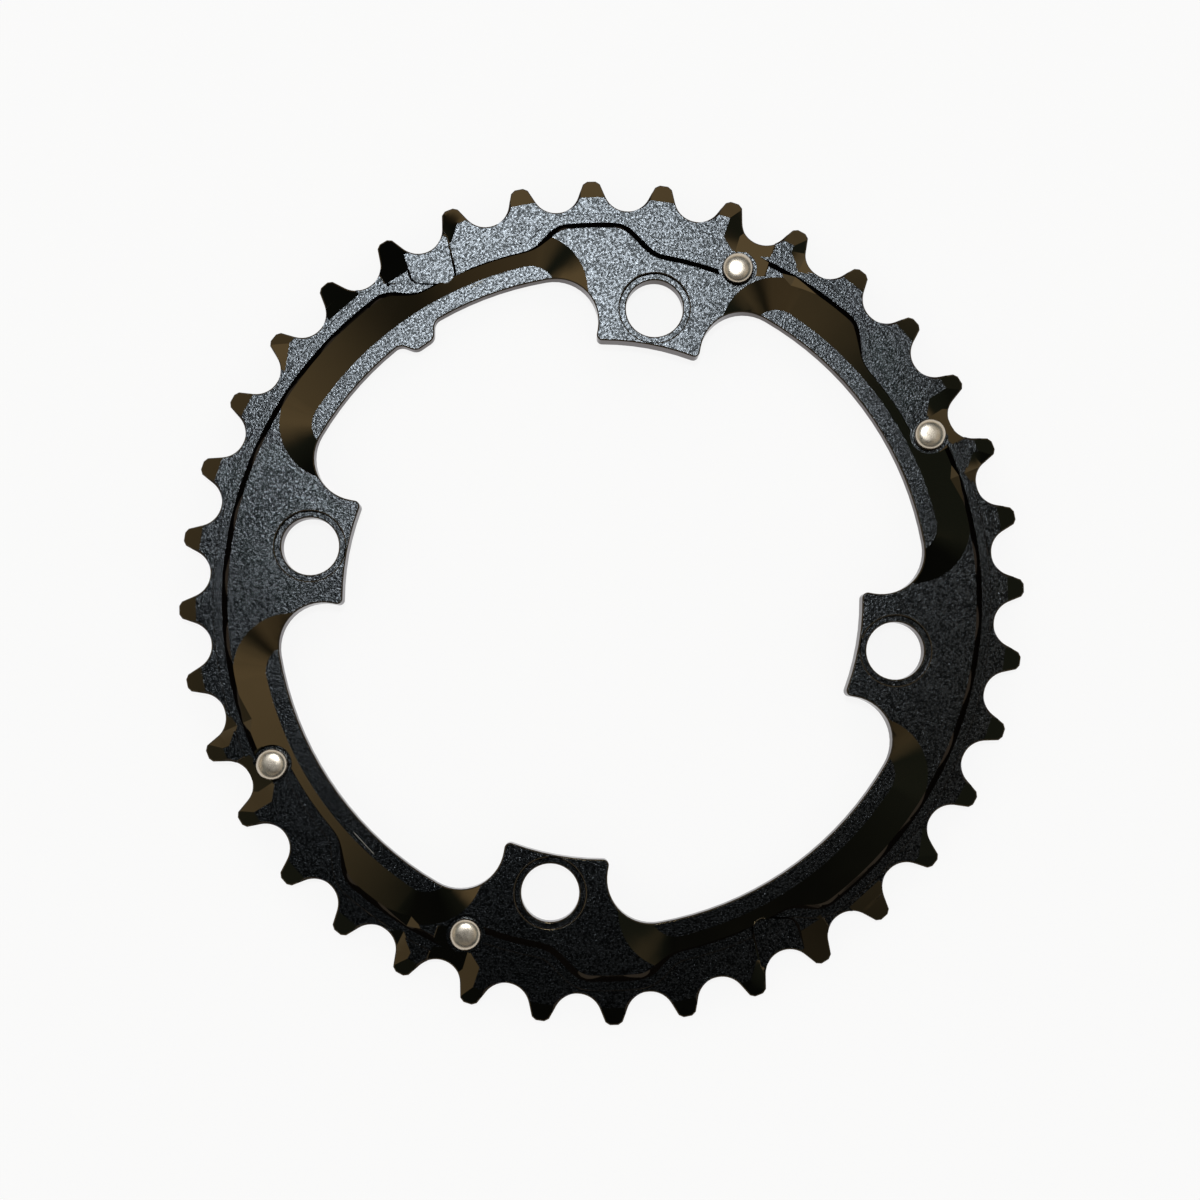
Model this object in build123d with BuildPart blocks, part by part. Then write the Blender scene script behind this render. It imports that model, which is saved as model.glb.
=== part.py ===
import os
from math import atan, cos, degrees, radians, sin, tan
from build123d import *

# Chain and teeth, the shares of the chain pitch first
tooth_count = 36
chain_pitch = 12.7
roller_per_pitch = 0.61
seat_per_roller = 0.548
addendum_per_pitch = 0.11
tip_break_per_pitch = 0.045
root_clearance = 0.17
flank_angle = 20
tooth_lead = 1.66
tooth_thickness = 2.2
front_bevel = 3.1
front_bevel_drop = 1.0
flank_chamfer = 0.5

# Heights, stacked from the back seat of the tabs
tooth_back = 1.1
lip_drop = 0.2
step_rise = 1.5

# Bolts and tabs
bolt_circle = 104
bolt_count = 4
first_bolt = 45
bolt_hole = 10.1
nut_ledge = 1.1
nut_recess_depth = 0.8
tab_reach = 6.6
tab_width = 18.4
tab_fillet_per_length = 0.655
tab_corner = 1.0

# Ring widths, from the tooth roots inward
step_setback = 2.1
crest_width = 6.4
lip_width = 3.0

# Locating nub inside the ring
nub_reach = 2.7
nub_base = 7.6
nub_slope = 55
nub_fillet = 1.8
nub_angle = 90

# Step wall behind the teeth, and the coined land at its foot
step_run = 1.3
step_corner = 5.6
pin_side_corner = 1.5
land_width = 1.4
land_rise = 0.12

# Recesses in the step wall: depth, ends of the floor, slope of the ends
outer_pin_recess = 4.7
outer_pin_end = 7.2
inner_pin_recess = 4.8
inner_pin_end = 46.3
gate_recess = 3.7
gate_start = 66.4
gate_end = 86.4
end_slope = 47

# Pockets between the tabs
pocket_clear = 8.3
pocket_run = 5.5
pocket_corner = 4.5

# Gate pocket: its outline from the root of the valley that it opens into
gate_pocket_depth = 0.5
gate_pocket_corner = 1.8
gate_pocket_outline = [(6.2, 3.6), (-3.9, 4.9), (-7.5, -1.8), (0.7, -3.9), (2.4, -3.3), (6.2, -3.3)]

# Teeth that carry the shift facets, counted from the bolt at first_bolt
sides = 2
inner_gate_tooth = -1
outer_gate_tooth = -5
gate_shift = 2.4
ramp_tooth = 4

# Facets on those teeth: start beyond the root, distance aside, bearing of the fall, tilt
gate_flank = (-2.8, 0, -90, 25)
gate_foot = (-3.57, -2.68, 16.5, 20)
gate_bend = (-1.2, 0, -40, 25)
gate_width = 18
side_facet = (2.3, -0.4, 47, 16)
deep_facet = (-1.5, 0, 0, 9.5)
ramp_facet = (-0.1, 0, 0, 11)
entry_facet = (1.8, 0, 30, 14)
facet_width = 7

# Shift pins
outer_pin_angle = -8.2
outer_pin_inset = 2.3
inner_pin_angle = 32.9
inner_pin_inset = 3.7
pin_head = 5.5
pin_rim_height = 0.9
pin_crown_rise = 1.2
pin_crown = 3.0
pin_shank = 3.4
pin_clearance = 0.02
spotface = 6.8
spotface_sink = 0.15

tiny = 0.01
half_turns = (0, 180)
half_pitch = 180 / tooth_count
roller_diameter = roller_per_pitch * chain_pitch
seat_radius = seat_per_roller * roller_diameter
pitch_radius = chain_pitch / (2 * sin(radians(half_pitch)))
root_radius = pitch_radius - roller_diameter / 2 - root_clearance
tip_radius = pitch_radius + addendum_per_pitch * chain_pitch
seat_centre = root_radius + seat_radius
first_tooth = first_bolt + tooth_lead
clear_radius = tip_radius + seat_radius
step_radius = root_radius - step_setback
pocket_radius = step_radius - crest_width
inner_radius = pocket_radius - lip_width
bolt_radius = bolt_circle / 2
tab_inner_radius = bolt_radius - tab_reach
tab_fillet = tab_fillet_per_length * (inner_radius - tab_inner_radius)
tooth_face = tooth_back + tooth_thickness
tab_height = tooth_face + step_rise
lip_height = tooth_face - lip_drop
pocket_depth = tab_height - lip_height
spotface_floor = tooth_face - spotface_sink
outer_pin_radius = step_radius - outer_pin_inset
inner_pin_radius = step_radius - inner_pin_inset
pin_places = [
    Vector(outer_pin_radius, 0).rotate(Axis.Z, outer_pin_angle),
    Vector(inner_pin_radius, 0).rotate(Axis.Z, inner_pin_angle),
    Vector(-outer_pin_radius, 0).rotate(Axis.Z, outer_pin_angle),
    Vector(-inner_pin_radius, 0).rotate(Axis.Z, inner_pin_angle),
]


def tooth_angle(number):
    return first_tooth + number * 2 * half_pitch


def on_circle(radius):
    return lambda vertex: abs(Vector(vertex.X, vertex.Y).length - radius) < tiny


def near_pin(vertex):
    return any((Vector(vertex.X, vertex.Y) - place).length < pin_head for place in pin_places)


with BuildSketch() as valley:
    with BuildLine():
        opening_angle = flank_angle + half_pitch
        seat = CenterArc((0, 0), seat_radius, 90 + opening_angle, 180 - 2 * opening_angle)
        left = PolarLine(seat @ 0, roller_diameter, opening_angle)
        right = PolarLine(seat @ 1, roller_diameter, -opening_angle)
        Line(left @ 1, right @ 1)
    make_face()


def recess(depth, start, end, start_slope, end_slope):
    """Sector cut from the step wall, its ends leaning outward by the slopes given."""
    floor = step_radius - depth
    rise = tip_radius - floor
    start_turn = degrees(rise * tan(radians(start_slope)) / step_radius)
    end_turn = degrees(rise * tan(radians(end_slope)) / step_radius)
    with BuildSketch(mode=Mode.PRIVATE) as sector:
        with BuildLine():
            inner = CenterArc((0, 0), floor, start, end - start)
            outer = CenterArc((0, 0), tip_radius, start - start_turn, end + end_turn - start + start_turn)
            Line(inner @ 0, outer @ 0)
            Line(inner @ 1, outer @ 1)
        make_face()
    return sector.sketch


with BuildSketch() as step:
    Circle(step_radius)
    for turn in half_turns:
        outer_sector = recess(outer_pin_recess, outer_pin_angle + turn, outer_pin_end + turn, 0, end_slope)
        inner_sector = recess(inner_pin_recess, inner_pin_angle + turn, inner_pin_end + turn, 0, end_slope)
        gate_sector = recess(gate_recess, gate_start + turn, gate_end + turn, end_slope, end_slope)
        add([outer_sector, inner_sector, gate_sector], mode=Mode.SUBTRACT)
    fillet(step.vertices().filter_by(near_pin), pin_side_corner)
    fillet(step.vertices().filter_by(near_pin, reverse=True), step_corner)


def step_section(grow, height):
    """The step's outline, grown by the distance given, at a height."""
    with BuildSketch(Plane.XY.offset(height)) as section:
        add(step.sketch)
        if grow:
            offset(amount=grow, mode=Mode.REPLACE)
    return section.sketch


with BuildPart() as pocket:
    with BuildSketch(Plane.XY.offset(lip_height)) as pocket_floor:
        pocket_side = tab_width / 2 + pocket_clear
        with Locations((pocket_side, pocket_side)):
            Rectangle(tip_radius, tip_radius, align=(Align.MIN, Align.MIN))
        Circle(pocket_radius, mode=Mode.INTERSECT)
        fillet(pocket_floor.vertices().filter_by(on_circle(pocket_radius)), pocket_corner)
    extrude(amount=pocket_depth, taper=-degrees(atan(pocket_run / pocket_depth)))

with BuildPart() as flank_bevel:
    with BuildSketch(Plane.XY.offset(tooth_face - flank_chamfer)):
        add(valley.sketch)
    with BuildSketch(Plane.XY.offset(tooth_face)):
        with Locations((0, -flank_chamfer)):
            add(valley.sketch)
    loft(ruled=True)


def facet(beyond, aside, bearing, tilt):
    """Plane through a point of the tooth face, leaning down toward the bearing."""
    lean = Vector(sin(radians(tilt)), 0, cos(radians(tilt))).rotate(Axis.Z, bearing)
    return Plane(origin=(root_radius + beyond, aside, tooth_face), z_dir=lean)


def facet_cutter(facets, start, width):
    """Block over a tooth, kept above each of the facets."""
    with BuildPart() as cutter:
        with Locations((start, 0, tooth_back)):
            Box(tip_radius, width, tab_height, align=(Align.MIN, Align.CENTER, Align.MIN))
        for values in facets:
            split(bisect_by=facet(*values), keep=Keep.TOP)
    return cutter.part


gate_inner_end = inner_pin_radius - spotface / 2
shift_gate = facet_cutter([gate_flank, gate_foot, gate_bend], gate_inner_end, gate_width)
side_cutter = facet_cutter([side_facet], root_radius, facet_width)
deep_cutter = facet_cutter([deep_facet], step_radius, facet_width)
ramp_cutter = facet_cutter([ramp_facet], step_radius, facet_width)
entry_cutter = facet_cutter([entry_facet], step_radius, facet_width)

with BuildSketch() as gate_pocket:
    with Locations((root_radius, 0)):
        Polygon(*gate_pocket_outline, align=None)
    fillet(gate_pocket.vertices().sort_by(Axis.X)[:2], gate_pocket_corner)

with BuildPart() as chainring:
    with BuildSketch(Plane.XY.offset(tooth_back)) as teeth:
        Circle(tip_radius)
        with PolarLocations(seat_centre, tooth_count, first_tooth + half_pitch):
            add(valley.sketch, mode=Mode.SUBTRACT)
        chamfer(teeth.vertices().filter_by(on_circle(tip_radius)), tip_break_per_pitch * chain_pitch)
    extrude(amount=tooth_thickness)
    with BuildSketch(Plane.XZ):
        with BuildLine():
            Polyline(
                (tip_radius - front_bevel, tooth_face),
                (tip_radius, tooth_face - front_bevel_drop),
                (clear_radius, tooth_face - front_bevel_drop),
                (clear_radius, tooth_face),
                close=True,
            )
        make_face()
    revolve(axis=Axis.Z, mode=Mode.SUBTRACT)
    with PolarLocations(seat_centre, tooth_count, first_tooth + half_pitch):
        add(flank_bevel.part, mode=Mode.SUBTRACT)
    Cylinder(step_radius, tooth_back, align=(Align.CENTER, Align.CENTER, Align.MIN))
    land_foot = step_section(land_width + land_rise, tooth_face)
    land_crest = step_section(land_width, tooth_face + land_rise)
    loft([land_foot, land_crest], ruled=True)
    loft([step_section(0, tooth_face), step_section(-step_run, tab_height)], ruled=True)
    with PolarLocations(0, bolt_count, first_bolt):
        add(pocket.part, mode=Mode.SUBTRACT)
    with BuildSketch() as opening:
        Circle(inner_radius)
        with PolarLocations(0, bolt_count, first_bolt):
            Rectangle(step_radius, tab_width, align=(Align.MIN, Align.CENTER), mode=Mode.SUBTRACT)
        fillet(opening.vertices().filter_by(on_circle(inner_radius)), tab_fillet)
        Circle(tab_inner_radius)
        fillet(opening.vertices().filter_by(on_circle(tab_inner_radius)), tab_corner)
        with PolarLocations(inner_radius, 1, nub_angle):
            nub_align = (Align.CENTER, Align.MIN)
            Trapezoid(nub_base, nub_reach, nub_slope, rotation=90, align=nub_align, mode=Mode.SUBTRACT)
        fillet(opening.vertices().filter_by(lambda v: v.Y > 0 and abs(v.X) < nub_base), nub_fillet)
    extrude(amount=tab_height, mode=Mode.SUBTRACT)
    with PolarLocations(bolt_radius, bolt_count, first_bolt):
        Hole(bolt_hole / 2)
    with BuildSketch(Plane.XY.offset(tab_height)):
        with PolarLocations(bolt_radius, bolt_count, first_bolt):
            Circle(bolt_hole / 2 + nut_ledge)
    extrude(amount=-nut_recess_depth, mode=Mode.SUBTRACT)
    with BuildSketch(Plane.XY.offset(spotface_floor)):
        with Locations(pin_places):
            Circle(spotface / 2)
    extrude(amount=tab_height, mode=Mode.SUBTRACT)
    with BuildSketch():
        with Locations(pin_places):
            Circle(pin_shank / 2 + pin_clearance)
    extrude(amount=tab_height, mode=Mode.SUBTRACT)
    with PolarLocations(0, sides, tooth_angle(inner_gate_tooth)):
        add(shift_gate, mode=Mode.SUBTRACT)
    with PolarLocations(0, sides, tooth_angle(outer_gate_tooth)):
        add(shift_gate, mode=Mode.SUBTRACT)
    with PolarLocations(gate_shift, sides, tooth_angle(inner_gate_tooth - 1)):
        add(shift_gate, mode=Mode.SUBTRACT)
    with PolarLocations(gate_shift, sides, tooth_angle(outer_gate_tooth - 1)):
        add(shift_gate, mode=Mode.SUBTRACT)
    with PolarLocations(0, sides, tooth_angle(ramp_tooth - 1)):
        add(side_cutter, mode=Mode.SUBTRACT)
    with PolarLocations(0, sides, tooth_angle(ramp_tooth)):
        add(deep_cutter, mode=Mode.SUBTRACT)
    with PolarLocations(0, sides, tooth_angle(ramp_tooth + 1)):
        add(ramp_cutter, mode=Mode.SUBTRACT)
    with PolarLocations(0, sides, tooth_angle(ramp_tooth + 2)):
        add(entry_cutter, mode=Mode.SUBTRACT)
    with BuildSketch(Plane.XY.offset(tooth_face - gate_pocket_depth)):
        with PolarLocations(0, sides, tooth_angle(ramp_tooth) - half_pitch):
            add(gate_pocket.sketch)
    extrude(amount=tab_height, mode=Mode.SUBTRACT)
chainring.part.label = "chainring"

with BuildPart() as pin:
    with BuildSketch(Plane.XZ):
        with BuildLine():
            rim_height = spotface_floor + pin_rim_height
            crown_height = rim_height + pin_crown_rise
            Polyline(
                (0, 0),
                (pin_shank / 2, 0),
                (pin_shank / 2, spotface_floor),
                (pin_head / 2, spotface_floor),
                (pin_head / 2, rim_height),
                (pin_crown / 2, crown_height),
                (0, crown_height),
                close=True,
            )
        make_face()
    revolve(axis=Axis.Z)

os.makedirs("parts", exist_ok=True)
export_step(chainring.part, "parts/chainring.step")
for number, place in enumerate(pin_places, start=1):
    with BuildPart() as shift_pin:
        with Locations(place):
            add(pin.part)
    shift_pin.part.label = f"shift_pin_{number}"
    export_step(shift_pin.part, f"parts/shift_pin_{number}.step")
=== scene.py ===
from math import cos, pi, radians, sin

import bmesh
import bpy
import numpy as np
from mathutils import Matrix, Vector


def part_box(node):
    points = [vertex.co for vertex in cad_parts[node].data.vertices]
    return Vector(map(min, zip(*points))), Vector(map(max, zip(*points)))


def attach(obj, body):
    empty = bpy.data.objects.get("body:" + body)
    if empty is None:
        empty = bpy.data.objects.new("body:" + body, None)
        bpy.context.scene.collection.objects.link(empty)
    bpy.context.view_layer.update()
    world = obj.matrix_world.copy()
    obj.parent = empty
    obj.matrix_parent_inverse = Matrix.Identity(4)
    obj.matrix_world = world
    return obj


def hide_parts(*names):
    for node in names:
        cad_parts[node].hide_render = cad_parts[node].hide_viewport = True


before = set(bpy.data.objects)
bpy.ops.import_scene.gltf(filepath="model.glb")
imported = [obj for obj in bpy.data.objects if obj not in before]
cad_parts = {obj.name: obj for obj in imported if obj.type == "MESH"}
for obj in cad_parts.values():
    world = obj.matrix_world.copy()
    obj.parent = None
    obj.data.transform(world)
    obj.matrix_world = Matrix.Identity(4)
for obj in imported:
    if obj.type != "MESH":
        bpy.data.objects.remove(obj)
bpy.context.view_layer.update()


# The ring: one blank of aluminium, stamped, milled on both faces and dyed black by anodising.
# The flats keep the grain of blasting, with pale specks in their colour that are partly painted
# glints; slopes, bevels and shift facets are cut smooth, and the cut faces get a dim bronze that
# is partly painted reflection of a warm room. Faces sloped at about 37 to 73 degrees get a dark
# brown, painted shade. The rims that were cut square are rounded over, and the walls of the two
# gate pockets lean back.
class Value:
    """A socket of a finish. Python's operators on it add the Math nodes that they stand for."""

    def __init__(self, finish, socket):
        self.finish = finish
        self.socket = socket

    def math(self, operation, *values):
        return self.finish.node("ShaderNodeMath", {"operation": operation}, dict(enumerate(values)))

    def __add__(self, other):
        return self.math("ADD", self, other)

    def __sub__(self, other):
        return self.math("SUBTRACT", self, other)

    def __rsub__(self, other):
        return self.math("SUBTRACT", other, self)

    def __mul__(self, other):
        return self.math("MULTIPLY", self, other)

    def __truediv__(self, other):
        return self.math("DIVIDE", self, other)

    def __rtruediv__(self, other):
        return self.math("DIVIDE", other, self)

    def __pow__(self, other):
        return self.math("POWER", self, other)

    def __rpow__(self, other):
        return self.math("POWER", other, self)

    def __abs__(self):
        return self.math("ABSOLUTE", self)

    __radd__ = __add__
    __rmul__ = __mul__


class Finish:
    """The node tree of one material, or of the room, and the ways to add to it."""

    def __init__(self, owner):
        owner.use_nodes = True
        self.tree = owner.node_tree
        self.tree.nodes.clear()

    def node(self, kind, settings, sockets, result=0):
        """Adds a node: its settings first, then a value or a link for each socket named."""
        new = self.tree.nodes.new(kind)
        for name, setting in settings.items():
            setattr(new, name, setting)
        for name, value in sockets.items():
            if isinstance(value, Value):
                self.tree.links.new(value.socket, new.inputs[name])
            else:
                new.inputs[name].default_value = value
        return Value(self, new.outputs[result]) if new.outputs else None

    def blend(self, share, first, second):
        """Mixes two colours: the first where the share is 0, the second where it is 1."""
        sockets = {0: share, 6: first, 7: second}
        return self.node("ShaderNodeMix", {"data_type": "RGBA"}, sockets, result=2)

    def rise(self, value, low, high):
        """0 at low, 1 at high, a smooth step between them and level beyond. Low may be the
        larger of the two, and then 1 lies below and 0 above."""
        settings = {"interpolation_type": "SMOOTHSTEP"}
        sockets = {"Value": value, "From Min": low, "From Max": high}
        return self.node("ShaderNodeMapRange", settings, sockets)

    def grain(self, place, size, detail=2.0, rough=0.5):
        """Noise whose grains are about the given size in metres."""
        sockets = {"Vector": place, "Scale": 1 / size, "Detail": detail, "Roughness": rough}
        return self.node("ShaderNodeTexNoise", {}, sockets)

    def reach(self, place, direction):
        """How far a place lies along a direction, as the dot product of the two."""
        settings = {"operation": "DOT_PRODUCT"}
        sockets = {0: place, 1: direction}
        return self.node("ShaderNodeVectorMath", settings, sockets, result="Value")


def joined_copy(node, name):
    """A copy of a CAD mesh, its loose triangles joined at their corners."""
    joined = bmesh.new()
    joined.from_mesh(node.data)
    bmesh.ops.remove_doubles(joined, verts=joined.verts, dist=1e-6)
    mesh = bpy.data.meshes.new(name)
    joined.to_mesh(mesh)
    joined.free()
    mesh.attributes.remove(mesh.attributes["custom_normal"])
    piece = bpy.data.objects.new(name, mesh)
    bpy.context.scene.collection.objects.link(piece)
    return piece


def read(items, name, kind, width=1):
    """One property of all the items of a mesh, as an array with a row for each item."""
    values = np.empty(len(items) * width, kind)
    items.foreach_get(name, values)
    return values.reshape(-1, width) if width > 1 else values


# How far up, from 0 to 1, the normal of an upright wall points at most, and of a flat at least.
wall_limit, flat_limit = 0.1, 0.85


def lean_walls(mesh, middle, reach, foot, brow, lean):
    """Leans the upright walls of a milled pocket back. Each corner of a wall that is within reach
    of the pocket's middle and whose height is from foot to brow moves by the lean, level, away
    from the pocket: p - lean * n, where n is the unit sum of the normals of its walls."""
    points = read(mesh.vertices, "co", np.float32, 3)
    normals = read(mesh.polygon_normals, "vector", np.float32, 3)
    corners = read(mesh.polygons, "loop_total", np.int32)
    corner = read(mesh.loops, "vertex_index", np.int32)
    corner_normals = np.repeat(normals, corners, axis=0)
    upright = np.abs(corner_normals[:, 2]) < wall_limit
    away = np.zeros_like(points)
    np.add.at(away, corner[upright], corner_normals[upright])
    away[:, 2] = 0
    length = np.linalg.norm(away, axis=1)
    near = np.linalg.norm(points[:, :2] - middle, axis=1) < reach
    moved = near & (length > 0) & (points[:, 2] > foot) & (points[:, 2] < brow)
    points[moved] -= lean * away[moved] / length[moved, None]
    mesh.vertices.foreach_set("co", points.ravel())
    mesh.update()


def mark_edges(mesh, turn, change_of_slope, lowest_wall, pins, pin_reach):
    """Shades a mesh smooth except where two faces meet at more than the turn, or where their
    slopes to the horizontal differ by more than the change given, so arcs stay round. An outer
    edge between a flat and an upright wall is a rim, and gets a bevel weight of 1 where the
    wall's face rises by more than the lowest wall, out of the reach of the pins' spotfaces."""
    points = read(mesh.vertices, "co", np.float32, 3)
    ends = read(mesh.edges, "vertices", np.int32, 2)
    normals = read(mesh.polygon_normals, "vector", np.float32, 3)
    middles = read(mesh.polygons, "center", np.float32, 3)
    corners = read(mesh.polygons, "loop_total", np.int32)
    corner = read(mesh.loops, "vertex_index", np.int32)
    edge = read(mesh.loops, "edge_index", np.int32)

    # Each edge between two faces, with the one face and the other.
    face = np.repeat(np.arange(len(corners)), corners)
    order = np.argsort(edge, kind="stable")
    edge, face = edge[order], face[order]
    pair = np.flatnonzero(edge[1:] == edge[:-1])
    one, other, edge = face[pair], face[pair + 1], edge[pair]

    bend = np.arccos(np.clip((normals[one] * normals[other]).sum(1), -1, 1))
    slope = np.arcsin(np.clip(normals[:, 2], -1, 1))
    sharp = np.ones(len(ends), bool)
    sharp[edge] = (bend > turn) | (np.abs(slope[one] - slope[other]) > change_of_slope)

    upness = np.abs(normals[:, 2])
    steepest = np.minimum(upness[one], upness[other])
    flattest = np.maximum(upness[one], upness[other])
    outer = (normals[one] * (middles[other] - middles[one])).sum(1) < 0
    level = points[corner, 2]
    starts = np.concatenate([[0], np.cumsum(corners)[:-1]])
    climb = np.maximum.reduceat(level, starts) - np.minimum.reduceat(level, starts)
    wall = np.where(upness[one] < upness[other], climb[one], climb[other])
    square = (flattest > flat_limit) & (steepest < wall_limit)
    rim = np.zeros(len(ends), np.float32)
    rim[edge] = outer & square & (wall > lowest_wall)
    apart = points[ends, None, :2] - pins
    rim[np.linalg.norm(apart, axis=3).min(axis=(1, 2)) < pin_reach] = 0

    layers = mesh.attributes
    sharp_layer = layers.get("sharp_edge") or layers.new("sharp_edge", "BOOLEAN", "EDGE")
    sharp_layer.data.foreach_set("value", sharp)
    layers.new("bevel_weight_edge", "FLOAT", "EDGE").data.foreach_set("value", rim)
    mesh.polygons.foreach_set("use_smooth", np.ones(len(corners), bool))


chainring = joined_copy(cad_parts["chainring"], "chainring_body")
gate_turn, gate_radius = radians(81.66), 0.0682
gate_middle = gate_radius * np.array([cos(gate_turn), sin(gate_turn)])
for pocket_middle in (gate_middle, -gate_middle):
    lean_walls(
        chainring.data, pocket_middle, reach=0.0088, foot=0.00325, brow=0.00345, lean=0.0004
    )
pin_nodes = [f"shift_pin_{number}" for number in range(1, 5)]
pin_boxes = np.array([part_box(node) for node in pin_nodes])
mark_edges(
    chainring.data,
    turn=radians(35),
    change_of_slope=radians(3.5),
    lowest_wall=0.0002,
    pins=pin_boxes.mean(axis=1)[:, :2],
    pin_reach=0.0046,
)
rounding = chainring.modifiers.new("rim_rounding", "BEVEL")
rounding.limit_method = "WEIGHT"
rounding.width = 0.00024
rounding.segments = 2
rounding.use_clamp_overlap = False
rounding.harden_normals = True
rounding.loop_slide = False

# Blasted flats: a grain of pale specks in the colour, partly painted glints of the blasting's
# sparkle.
blast_dark, blast_bright_painted_glint = (0.01, 0.011, 0.0116, 1), (0.057, 0.062, 0.067, 1)
# Cut faces: a dim bronze that varies at random, partly painted reflection of the warm room they
# mirror.
cut_dark_painted_reflection, cut_bright_painted_reflection = (0.075, 0.056, 0.031, 1), (0.09, 0.07, 0.04, 1)
# A dark brown for steep faces: painted shade.
painted_shade_brown, bare_metal = (0.024, 0.019, 0.013, 1), (0.13, 0.125, 0.11, 1)
anodised = bpy.data.materials.new("anodised_black")
dye = Finish(anodised)
where = dye.node("ShaderNodeTexCoord", {}, {}, result="Object")
facing = dye.node("ShaderNodeTexCoord", {}, {}, result="Normal")
upward = dye.node("ShaderNodeSeparateXYZ", {}, {0: facing}, result="Z")
tilt = abs(upward)
flat = dye.rise(tilt, 0.985, 0.997)
# Faces that slope at about 37 to 73 degrees, bevels and step walls, are painted dark brown as
# shade.
steep_painted_shade = dye.rise(tilt, 0.2, 0.3) * dye.rise(tilt, 0.86, 0.8)
fine = dye.grain(where, size=0.00026, detail=2.0, rough=0.6)
cloud = dye.grain(where, size=0.011, detail=3.0)
# Pale specks on the flats, partly painted glints.
pale = dye.rise(dye.grain(where, size=0.00038, detail=1.5), 0.38, 0.66)
blasted_with_painted_glints = dye.blend(pale, blast_dark, blast_bright_painted_glint)
cut = dye.blend(cloud, cut_dark_painted_reflection, cut_bright_painted_reflection)
# Base colour by slope: painted glints on the flats, partly painted reflection on the cut faces,
# painted shade on the steep faces.
colour = dye.blend(steep_painted_shade, dye.blend(flat, cut, blasted_with_painted_glints), painted_shade_brown)


def scratch(start, end, width):
    """1 along a straight scratch in the upper side, fading over its width and at its ends."""
    start, end = np.array(start), np.array(end)
    length = np.linalg.norm(end - start)
    run = (end - start) / length
    side = np.array([-run[1], run[0]])
    along = dye.reach(where, (*run, 0)) - run @ start
    aside = dye.reach(where, (*side, 0)) - side @ start
    ends = dye.rise(abs(along - length / 2), length / 2, length * 0.4)
    return ends * dye.rise(abs(aside), width, width * 0.4) * dye.rise(upward, 0.3, 0.6)


scratch_width = 0.00012
bare = scratch((-0.05888, -0.00834), (-0.05808, -0.01405), scratch_width)
bare = bare + scratch((0.01234, 0.0585), (0.01479, 0.05816), scratch_width)
bumps = dye.node(
    "ShaderNodeBump", {}, {"Strength": 1.0, "Distance": 3.0e-5, "Height": fine * flat}
)
surface = dye.node(
    "ShaderNodeBsdfPrincipled",
    {},
    {
        "Base Color": dye.blend(bare, colour, bare_metal),
        "Metallic": 1.0,
        "Roughness": 0.06 + 0.03 * cloud + flat * 0.1 + bare * 0.25,
        "Normal": bumps,
        "Specular Tint": (0.5, 0.49, 0.51, 1),
    },
)
dye.node("ShaderNodeOutputMaterial", {}, {"Surface": surface})
chainring.data.materials.clear()
chainring.data.materials.append(anodised)
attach(chainring, "root")
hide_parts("chainring")


# Shift pins: four studs of polished steel, turned with a straight shank and pressed into the ring.
# Each rounded head sits on a spotface, catches the chain and lifts it to the next ring.
def turned(profile, centre, steps):
    """A lathe surface: the profile of (radius, height) pairs turned about an upright line at
    the centre, x = cx + r cos a and y = cy + r sin a. An end of the profile that lies on the
    line is closed by a fan of triangles to one point."""
    angle = np.linspace(0, 2 * pi, steps, endpoint=False)
    on_line = profile[:, 0] == 0
    radius, height = profile[~on_line].T
    rows = len(radius)
    across = np.outer(radius, np.cos(angle)) + centre[0]
    along = np.outer(radius, np.sin(angle)) + centre[1]
    heights = np.repeat(height[:, None], steps, axis=1)
    wall = np.stack([across, along, heights], axis=2).reshape(-1, 3)
    tip_heights = profile[on_line, 1]
    tips = np.column_stack([np.full((len(tip_heights), 2), centre[:2]), tip_heights])
    index = np.arange(rows * steps).reshape(rows, steps)
    onward = np.roll(index, -1, axis=1)
    quads = np.stack([index[:-1], onward[:-1], onward[1:], index[1:]], axis=2).reshape(-1, 4)
    faces = quads.tolist()
    tip = rows * steps
    if on_line[0]:
        faces += np.stack([np.full(steps, tip), onward[0], index[0]], axis=1).tolist()
        tip += 1
    if on_line[-1]:
        faces += np.stack([np.full(steps, tip), index[-1], onward[-1]], axis=1).tolist()
    return np.vstack([wall, tips]), faces


def pin_profile(foot, top):
    """From the foot up: straight shank, underside of the head, straight rim and a dome that is
    a quarter of a squarish oval, r = R cos(t)^q and h = H sin(t)^q, with q under 1."""
    shank, head, edge, squareness = 0.0017, 0.00275, 0.0001, 0.65
    seat = foot + 0.00315
    rim = seat + 0.0009
    turn = np.linspace(0, pi / 2, 15)[:-1]
    dome_radius = head * np.cos(turn) ** squareness
    dome_height = rim + (top - rim) * np.sin(turn) ** squareness
    lower = [(0, foot), (shank, foot), (shank, seat), (head - edge, seat), (head, seat + edge)]
    return np.vstack([lower, np.column_stack([dome_radius, dome_height]), [(0, top)]])


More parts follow.
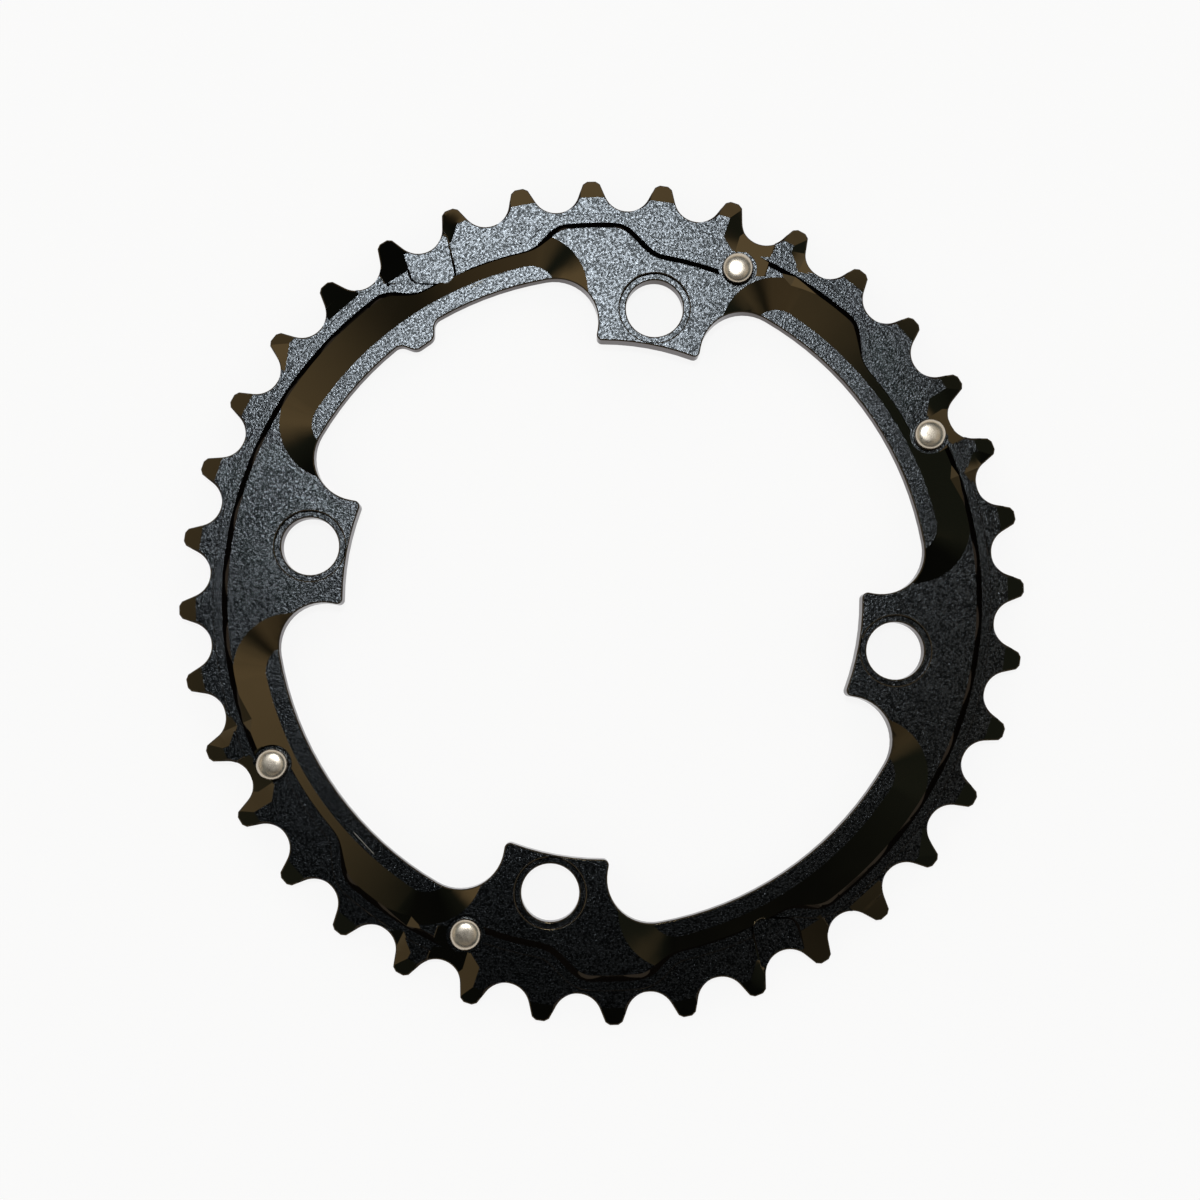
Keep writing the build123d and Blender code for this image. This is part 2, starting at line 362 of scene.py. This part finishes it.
steel_dark, steel_bright = (0.42, 0.37, 0.3, 1), (0.6, 0.54, 0.46, 1)
steel = bpy.data.materials.new("pin_steel")
polish = Finish(steel)
where = polish.node("ShaderNodeTexCoord", {}, {}, result="Object")
smear = polish.grain(where, size=0.0009, detail=3.0)
scuffs = polish.grain(where, size=0.0002, detail=2.0)
bumps = polish.node(
    "ShaderNodeBump", {}, {"Strength": 0.6, "Distance": 1e-5, "Height": scuffs}
)
surface = polish.node(
    "ShaderNodeBsdfPrincipled",
    {},
    {
        "Base Color": polish.blend(smear, steel_dark, steel_bright),
        "Metallic": 1.0,
        "Roughness": 0.2 + 0.16 * smear,
        "Normal": bumps,
    },
)
polish.node("ShaderNodeOutputMaterial", {}, {"Surface": surface})
for node in pin_nodes:
    low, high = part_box(node)
    points, faces = turned(pin_profile(low.z, high.z), (low + high) / 2, steps=48)
    mesh = bpy.data.meshes.new(f"{node}_stud")
    mesh.from_pydata(points.tolist(), [], faces)
    mesh.materials.append(steel)
    mesh.polygons.foreach_set("use_smooth", np.ones(len(mesh.polygons), bool))
    mesh.set_sharp_from_angle(angle=radians(40))
    stud = bpy.data.objects.new(f"{node}_stud", mesh)
    bpy.context.scene.collection.objects.link(stud)
    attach(stud, "root")
    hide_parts(node)


# The stage: a wide sheet of white card under the ring, turned up all round at its far edge, and
# the room that the ring mirrors: pale walls, a dark ceiling with three warm windows, and one
# soft lamp overhead. The camera stands where the photograph was taken from.
card_flat, card_reach, card_height, card_gap = 4.0, 8.0, 1.4, 2e-5
sweep = np.linspace(0, pi / 2, 13)
card_radius = card_flat + (card_reach - card_flat) * np.sin(sweep)
card_profile = np.column_stack([card_radius, card_height * (1 - np.cos(sweep))])
card_profile = np.vstack([[(0, 0)], card_profile]) - (0, card_gap)
points, faces = turned(card_profile, (0, 0), steps=96)
card_mesh = bpy.data.meshes.new("card")
card_mesh.from_pydata(points.tolist(), [], faces)
card_mesh.flip_normals()
card_mesh.polygons.foreach_set("use_smooth", np.ones(len(card_mesh.polygons), bool))
card = bpy.data.objects.new("card", card_mesh)
bpy.context.scene.collection.objects.link(card)
paper = bpy.data.materials.new("white_card")
sheet = Finish(paper)
camera_rays = sheet.node("ShaderNodeLightPath", {}, {}, result="Is Camera Ray")
glossy_rays = sheet.node("ShaderNodeLightPath", {}, {}, result="Is Glossy Ray")
clear_rays = sheet.node("ShaderNodeLightPath", {}, {}, result="Is Transmission Ray")
seen = (camera_rays + glossy_rays + clear_rays) * 0.88
matte = sheet.node("ShaderNodeBsdfDiffuse", {}, {"Color": (0.9, 0.9, 0.9, 1)})
white = sheet.node("ShaderNodeEmission", {}, {"Color": (1, 1, 1, 1), "Strength": 1.0})
shown = sheet.node("ShaderNodeMixShader", {}, {0: seen, 1: matte, 2: white})
sheet.node("ShaderNodeOutputMaterial", {}, {"Surface": shown})
card_mesh.materials.append(paper)

photo_turn = radians(-34.89)


def from_photo(across, up, above):
    """A place measured in the photograph's own directions, in the frame of the part."""
    x = across * cos(photo_turn) - up * sin(photo_turn)
    y = across * sin(photo_turn) + up * cos(photo_turn)
    return np.array([x, y, above])


def toward_photo(azimuth, elevation):
    """A direction by its azimuth in the photograph and its elevation, in degrees."""
    azimuth, elevation = radians(azimuth), radians(elevation)
    across, up = cos(elevation) * cos(azimuth), cos(elevation) * sin(azimuth)
    return from_photo(across, up, sin(elevation))


def look(place, aim, up):
    """The turn that points an object's -Z from its place to its aim, with its Y toward up."""
    back = (place - aim) / np.linalg.norm(place - aim)
    right = np.cross(up, back)
    right = right / np.linalg.norm(right)
    matrix = np.eye(4)
    matrix[:3, 0], matrix[:3, 1], matrix[:3, 2] = right, np.cross(back, right), back
    matrix[:3, 3] = place
    return matrix.T.tolist()


room = bpy.data.worlds.new("room")
bpy.context.scene.world = room
walls = Finish(room)
view = walls.node("ShaderNodeTexCoord", {}, {})
height = walls.node("ShaderNodeSeparateXYZ", {}, {0: view}, result="Z")
level = (1 - height * height) ** 0.5


def side(azimuth):
    """How far a direction leans to one side of the room, as the cosine of the angle to it."""
    return walls.reach(view, toward_photo(azimuth, 0).tolist())


def within(azimuth, full, faded):
    """1 within so many degrees of an azimuth to each side, 0 past the faded angle."""
    return walls.rise(side(azimuth) / level, cos(radians(faded)), cos(radians(full)))


def above(elevation, fade):
    """1 above an elevation, 0 below it, with a fade of so many degrees to each side."""
    return walls.rise(height, sin(radians(elevation - fade)), sin(radians(elevation + fade)))


wall_low = (1.1, 1.08, 1.04, 1)
wall_shade, wall_sun = (0.5, 0.45, 0.37, 1), (1.0, 0.9, 0.74, 1)
sky_dark, sky_blue = (0.02, 0.027, 0.035, 1), (0.075, 0.105, 0.115, 1)
zenith, window_light = (0.02, 0.021, 0.02, 1), (1.0, 0.88, 0.7, 1)
wall = walls.blend(within(80, 15, 45), wall_shade, wall_sun)
wall = walls.blend(above(30, 10), wall_low, wall)
sky = walls.blend(walls.rise(abs(side(10)) / level, 0.3, 0.9), sky_dark, sky_blue)
sky = walls.blend(above(72, 5), sky, zenith)
right_window = within(5, 5, 60) * (1 - above(76, 4)) * 0.78
low_window = within(262, 12, 52) * (1 - above(71, 4)) * 0.55
left_window = within(176, 16, 34) * above(49, 3) * (1 - above(60, 3))
warm = (right_window + low_window) * above(59.3, 3) + left_window
warm = warm * (0.5 + 0.9 * walls.grain(view, size=0.2))
ceiling = walls.rise(height - 0.1 * side(145), 0.6, 0.7)
glow = walls.blend(warm, walls.blend(ceiling, wall, sky), window_light)
lit = walls.node("ShaderNodeBackground", {}, {"Color": glow, "Strength": 1.0})
walls.node("ShaderNodeOutputWorld", {}, {"Surface": lit})

photo_up = from_photo(0, 1, 0)
lamp_distance = 1.55
lamp_data = bpy.data.lights.new("soft_lamp", "AREA")
lamp_data.shape = "DISK"
lamp_data.size = 0.24
lamp_data.energy = 6.6
lamp_data.color = (0.95, 0.98, 1.0)
lamp = bpy.data.objects.new("soft_lamp", lamp_data)
bpy.context.scene.collection.objects.link(lamp)
lamp.matrix_world = look(lamp_distance * toward_photo(98, 77), np.zeros(3), photo_up)

camera_place = from_photo(-0.0051, -0.0224, 0.4033)
camera_aim = from_photo(-0.00047, -0.00023, 0.0033)
camera_data = bpy.data.cameras.new("camera")
camera_data.lens = 68.6
camera_data.sensor_width = 36
camera = bpy.data.objects.new("camera", camera_data)
bpy.context.scene.collection.objects.link(camera)
camera.matrix_world = look(camera_place, camera_aim, photo_up)
bpy.context.scene.camera = camera
bpy.context.scene.view_settings.view_transform = "Standard"
